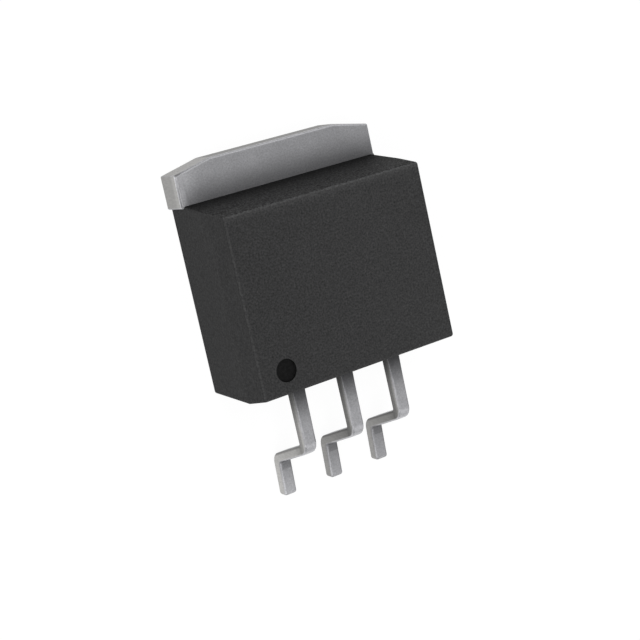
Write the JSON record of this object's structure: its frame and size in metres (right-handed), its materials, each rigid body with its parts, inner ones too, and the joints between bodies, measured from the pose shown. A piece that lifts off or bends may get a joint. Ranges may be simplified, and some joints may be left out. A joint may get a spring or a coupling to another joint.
{
  "type": "surface-mount voltage regulator",
  "caption": "Surface-mount voltage regulator: moulded body on a tinned heat tab with cut corners, formed leads, and a die with bond wires cast inside.",
  "frame": {"origin": "on the board plane that the exposed pad rests on, under the middle of the outline", "axes": "+Z points away from the board, +Y runs along the part towards the heat tab, and X runs along the row of leads, with lead one at -X"},
  "size_m": [0.0102, 0.0156, 0.0046],
  "materials": {
    "moulding": "fine grained matte charcoal moulding",
    "tinned_metal": "satin tin plating",
    "silicon": "polished dark grey",
    "solder": "dull grey solder",
    "bond_wire": "drawn aluminium"
  },
  "bodies": {
    "root": {"moulded_body": "moulding", "heat_tab": "tinned_metal", "adjust_lead": "tinned_metal", "input_lead": "tinned_metal", "regulator_die": "silicon", "die_solder": "solder", "adjust_wire": "bond_wire", "output_wire_1": "bond_wire", "output_wire_2": "bond_wire", "input_wire_1": "bond_wire", "input_wire_2": "bond_wire"}
  },
  "joints": []
}
